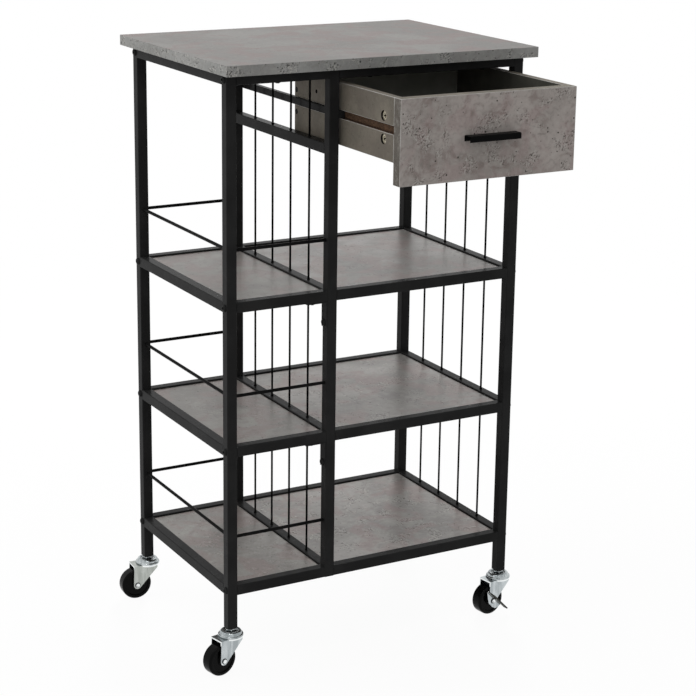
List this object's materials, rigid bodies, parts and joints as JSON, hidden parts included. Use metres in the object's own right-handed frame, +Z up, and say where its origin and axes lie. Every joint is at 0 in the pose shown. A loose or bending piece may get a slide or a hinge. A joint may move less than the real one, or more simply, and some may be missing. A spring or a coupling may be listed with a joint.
{
  "type": "kitchen cart",
  "caption": "Rolling kitchen cart: black square-tube frame, grey stone-look worktop and shelves, a bottle bay with guard rods, wire grilles, a drawer on runner bars and swivel casters.",
  "frame": {"origin": "on the floor under the middle of the whole box, drawer open as in the picture", "axes": "+X to the right seen from the drawer side, +Y to the back, +Z up"},
  "size_m": [0.552, 0.5444, 0.928],
  "materials": {
    "black_steel": "satin powder coat",
    "grey_laminate": "grey stone-look melamine on board",
    "dark_board": "dark paper-faced fibreboard",
    "zinc": "bright zinc plate",
    "cam_metal": "yellow zinc die-cast",
    "black_plastic": "moulded",
    "wheel_plastic": "moulded, lightly worn"
  },
  "bodies": {
    "frame": {"worktop": "grey_laminate", "post_left_front": "black_steel", "post_left_rear": "black_steel", "post_divider_front": "black_steel", "post_divider_rear": "black_steel", "post_right_front": "black_steel", "post_right_rear": "black_steel", "side_rails_low": "black_steel", "side_rails_middle": "black_steel", "side_rails_high": "black_steel", "side_rails_top": "black_steel", "cross_rails_low": "black_steel", "cross_rails_middle": "black_steel", "cross_rails_high": "black_steel", "cross_rails_top": "black_steel", "drawer_rails": "black_steel", "drawer_runners": "black_steel", "shelf_left_low": "grey_laminate", "shelf_right_low": "grey_laminate", "shelf_left_middle": "grey_laminate", "shelf_right_middle": "grey_laminate", "shelf_left_high": "grey_laminate", "shelf_right_high": "grey_laminate", "shelf_tabs": "black_steel", "shelf_screws": "zinc", "guard_rods": "black_steel", "grille_divider": "black_steel", "grille_right": "black_steel", "angle_brackets": "black_steel", "bracket_bolts": "black_steel", "frame_bolts": "black_steel", "divider_bolts": "black_steel", "worktop_screws": "black_steel", "post_inserts": "black_plastic", "post_caps": "black_plastic", "caster_stems": "zinc"},
    "drawer": {"drawer_front": "grey_laminate", "drawer_side_left": "grey_laminate", "drawer_side_right": "grey_laminate", "drawer_back": "grey_laminate", "drawer_bottom": "dark_board", "drawer_handle": "black_steel", "drawer_screws": "zinc", "handle_screws": "zinc", "cam_locks": "cam_metal"},
    "caster_left_front": {"fork_left_front": "zinc", "axle_left_front": "zinc"},
    "wheel_left_front": {"wheel_left_front": "wheel_plastic"},
    "caster_left_rear": {"fork_left_rear": "zinc", "axle_left_rear": "zinc"},
    "wheel_left_rear": {"wheel_left_rear": "wheel_plastic"},
    "caster_right_front": {"fork_right_front": "zinc", "axle_right_front": "zinc"},
    "wheel_right_front": {"wheel_right_front": "wheel_plastic"},
    "caster_right_rear": {"fork_right_rear": "zinc", "axle_right_rear": "zinc"},
    "wheel_right_rear": {"wheel_right_rear": "wheel_plastic"},
    "brake_right_front": {"brake_right_front": "zinc"},
    "brake_right_rear": {"brake_right_rear": "zinc"}
  },
  "joints": [
    {"name": "drawer_slide", "type": "slide", "parent": "frame", "child": "drawer", "axis": [0, -1, 0], "range_m": [-0.149, 0.06]},
    {"name": "swivel_left_front", "type": "hinge", "parent": "frame", "child": "caster_left_front", "pos_m": [-0.22851, -0.08025, 0.0585], "axis": [0, 0, 1], "continuous": true},
    {"name": "spin_left_front", "type": "hinge", "parent": "caster_left_front", "child": "wheel_left_front", "pos_m": [-0.25013, -0.08485, 0.025], "axis": [0.2079, -0.9781, 0], "continuous": true},
    {"name": "swivel_left_rear", "type": "hinge", "parent": "frame", "child": "caster_left_rear", "pos_m": [-0.22851, 0.23775, 0.0585], "axis": [0, 0, 1], "continuous": true},
    {"name": "spin_left_rear", "type": "hinge", "parent": "caster_left_rear", "child": "wheel_left_rear", "pos_m": [-0.25057, 0.2391, 0.025], "axis": [-0.061, -0.9981, 0], "continuous": true},
    {"name": "swivel_right_front", "type": "hinge", "parent": "frame", "child": "caster_right_front", "pos_m": [0.25649, -0.08025, 0.0585], "axis": [0, 0, 1], "continuous": true},
    {"name": "spin_right_front", "type": "hinge", "parent": "caster_right_front", "child": "wheel_right_front", "pos_m": [0.23463, -0.08352, 0.025], "axis": [0.1478, -0.989, 0], "continuous": true},
    {"name": "brake_lift_right_front", "type": "hinge", "parent": "caster_right_front", "child": "brake_right_front", "pos_m": [0.23463, -0.08352, 0.025], "axis": [0.1478, -0.989, 0], "range_deg": [0, 35]},
    {"name": "swivel_right_rear", "type": "hinge", "parent": "frame", "child": "caster_right_rear", "pos_m": [0.25649, 0.23775, 0.0585], "axis": [0, 0, 1], "continuous": true},
    {"name": "spin_right_rear", "type": "hinge", "parent": "caster_right_rear", "child": "wheel_right_rear", "pos_m": [0.23451, 0.23544, 0.025], "axis": [0.1045, -0.9945, 0], "continuous": true},
    {"name": "brake_lift_right_rear", "type": "hinge", "parent": "caster_right_rear", "child": "brake_right_rear", "pos_m": [0.23451, 0.23544, 0.025], "axis": [0.1045, -0.9945, 0], "range_deg": [0, 35]}
  ]
}
